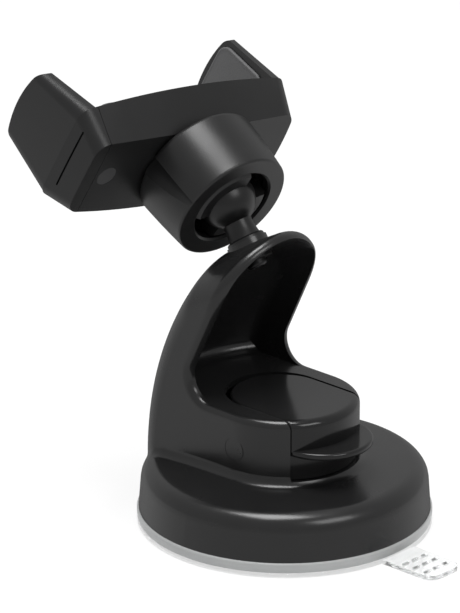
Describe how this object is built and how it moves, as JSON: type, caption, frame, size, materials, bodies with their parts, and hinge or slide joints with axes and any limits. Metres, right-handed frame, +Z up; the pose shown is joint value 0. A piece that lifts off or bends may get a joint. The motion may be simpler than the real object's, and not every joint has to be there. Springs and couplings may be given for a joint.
{
  "type": "car phone mount",
  "caption": "Phone holder for a windscreen or dashboard: round suction foot with a lift-up lock lever, arched open neck, ball head with a lock nut, and a spring-loaded side-clamp cradle.",
  "frame": {"origin": "middle of the suction pad's underside", "axes": "+Z up from the surface it is stuck to; +Y towards the lock lever, the open side of the neck and the pull tab; the phone faces -Y; X across the width"},
  "size_m": [0.085, 0.1343, 0.1291],
  "materials": {
    "housing_plastic": "satin black moulding",
    "lever_plastic": "polished black",
    "ball_plastic": "polished black",
    "collet_plastic": "black",
    "nut_plastic": "fine black",
    "cradle_plastic": "fine black",
    "plug_plastic": "fine dark grey",
    "inner_plastic": "dark grey",
    "pad_rubber": "soft dark grey",
    "cup_rubber": "translucent grey",
    "clear_gel": "clear soft gel",
    "steel": "bright",
    "spring_steel": "drawn wire"
  },
  "bodies": {
    "base": {"neck_body": "housing_plastic", "gel_pad": "clear_gel", "suction_cup": "cup_rubber", "pressure_ring": "inner_plastic", "ring_screws": "steel", "pivot_pin": "steel", "pin_caps": "housing_plastic", "release_spring": "spring_steel"},
    "lever": {"lock_lever": "lever_plastic"},
    "stem": {"lift_stem": "inner_plastic"},
    "ball": {"ball_stud": "ball_plastic", "stud_washer": "steel", "stud_screw": "steel"},
    "socket": {"collet": "collet_plastic"},
    "cradle": {"cradle_body": "cradle_plastic", "front_plate": "cradle_plastic", "plate_screws": "steel", "back_pad": "pad_rubber", "fixed_arm_pad": "pad_rubber", "guide_rods": "steel", "screw_plug": "plug_plastic", "return_springs": "spring_steel"},
    "jaw": {"sliding_jaw": "cradle_plastic", "jaw_carriage": "inner_plastic", "carriage_screws": "steel", "jaw_pad": "pad_rubber"},
    "nut": {"lock_nut": "nut_plastic"}
  },
  "joints": [
    {"name": "lever_lift", "type": "hinge", "parent": "base", "child": "lever", "pos_m": [0, 0, 0.0277], "axis": [1, 0, 0], "range_deg": [0, 60]},
    {"name": "stem_lift", "type": "slide", "parent": "base", "child": "stem", "axis": [0, 0, 1], "range_m": [-0.001, 0], "deforming": ["suction_cup", "release_spring"]},
    {"name": "ball_swivel", "type": "hinge", "parent": "base", "child": "ball", "pos_m": [0, -0.0231, 0.0918], "axis": [0, -0.5948, 0.8039], "range_deg": [-75, 75]},
    {"name": "ball_tilt", "type": "hinge", "parent": "ball", "child": "socket", "pos_m": [0, -0.0231, 0.0918], "axis": [-0.9607, 0.2232, 0.1652], "range_deg": [-4, 54]},
    {"name": "cradle_spin", "type": "hinge", "parent": "socket", "child": "cradle", "pos_m": [0, -0.0231, 0.0918], "axis": [-0.1251, -0.879, 0.4602], "continuous": true},
    {"name": "nut_turn", "type": "hinge", "parent": "cradle", "child": "nut", "pos_m": [0, -0.0231, 0.0918], "axis": [-0.1251, -0.879, 0.4602], "range_deg": [-270, 0]},
    {"name": "jaw_open", "type": "slide", "parent": "cradle", "child": "jaw", "axis": [0.9899, -0.0794, 0.1174], "range_m": [0, 0.022], "stiffness_N_per_m": 200, "springref_m": -0.02, "deforming": ["return_springs"]}
  ],
  "couplings": [
    {"joint": "stem_lift", "follows": "lever_lift", "m_per_rad": -0.00094875}
  ]
}
